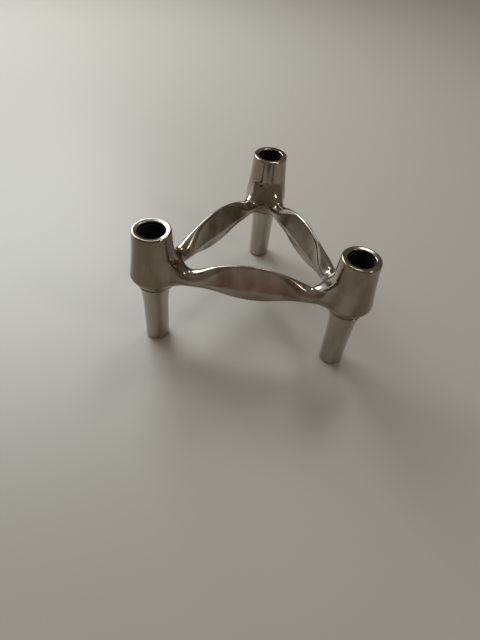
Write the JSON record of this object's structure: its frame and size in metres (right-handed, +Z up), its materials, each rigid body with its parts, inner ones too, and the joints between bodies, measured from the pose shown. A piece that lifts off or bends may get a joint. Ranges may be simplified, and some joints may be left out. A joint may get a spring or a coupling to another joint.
{
  "type": "candle holder",
  "caption": "Low triangular metal candlestick: tapered cups on slim legs, tied together by straight leaf-shaped arms.",
  "frame": {"origin": "on the table, under the middle of the holder's bounding box", "axes": "+Z up; +X along the front arm, from the left cup to the right cup, the longest way across; +Y from the front arm towards the back cup"},
  "size_m": [0.1156, 0.1032, 0.067],
  "materials": {
    "polished_metal": "mirror-polished plating, warm silver, with faint buffing marks",
    "leg_metal": "polished plating, a little softer than the cups",
    "liner_black": "matte black, fine grain"
  },
  "bodies": {
    "root": {"cup_back": "polished_metal", "cup_liner_back": "liner_black", "leg_back": "leg_metal", "cup_left": "polished_metal", "cup_liner_left": "liner_black", "leg_left": "leg_metal", "cup_right": "polished_metal", "cup_liner_right": "liner_black", "leg_right": "leg_metal", "arm_front": "polished_metal", "arm_left": "polished_metal", "arm_right": "polished_metal"}
  },
  "joints": []
}
